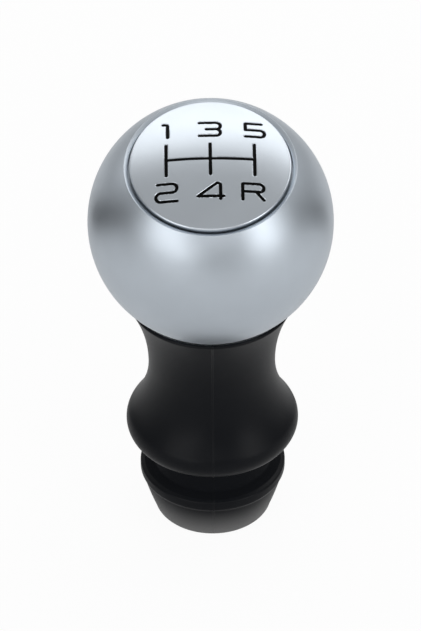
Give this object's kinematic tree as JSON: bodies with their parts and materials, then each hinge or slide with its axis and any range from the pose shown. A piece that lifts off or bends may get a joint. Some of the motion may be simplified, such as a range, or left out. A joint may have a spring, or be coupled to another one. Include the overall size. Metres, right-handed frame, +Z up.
{
  "type": "gear shift knob",
  "caption": "Gear shift knob: a hollow satin ball with a leaning engraved pattern plate, on a waisted black sleeve with a gaiter groove and a blind lever bore.",
  "frame": {"origin": "centre of the foot ring, on the plane that the knob stands on", "axes": "+Z up along the lever's axis, +X to the driver's right, -Y towards the driver, where the plate leans"},
  "size_m": [0.05, 0.05, 0.0963],
  "materials": {
    "black_moulding": "satin moulded, with a faint parting line",
    "satin_aluminium": "fine blasted and anodised, satin",
    "plate_aluminium": "satin with a fine polish",
    "black_enamel": "semi-gloss paint fill",
    "foam_tape": "closed-cell foam tape",
    "filled_nylon": "moulded, glass filled",
    "natural_nylon": "moulded, natural",
    "spring_steel": "rolled strip",
    "zinc_steel": "zinc plated",
    "turned_brass": "turned"
  },
  "bodies": {
    "root": {"grip_sleeve": "black_moulding", "ball_shell": "satin_aluminium", "shift_plate": "plate_aluminium", "pattern_enamel": "black_enamel", "plate_pad": "foam_tape", "core_post": "filled_nylon", "lever_bush": "natural_nylon", "bush_clip": "spring_steel", "ball_screw": "zinc_steel", "ball_washer": "zinc_steel", "threaded_insert": "turned_brass"}
  },
  "joints": []
}
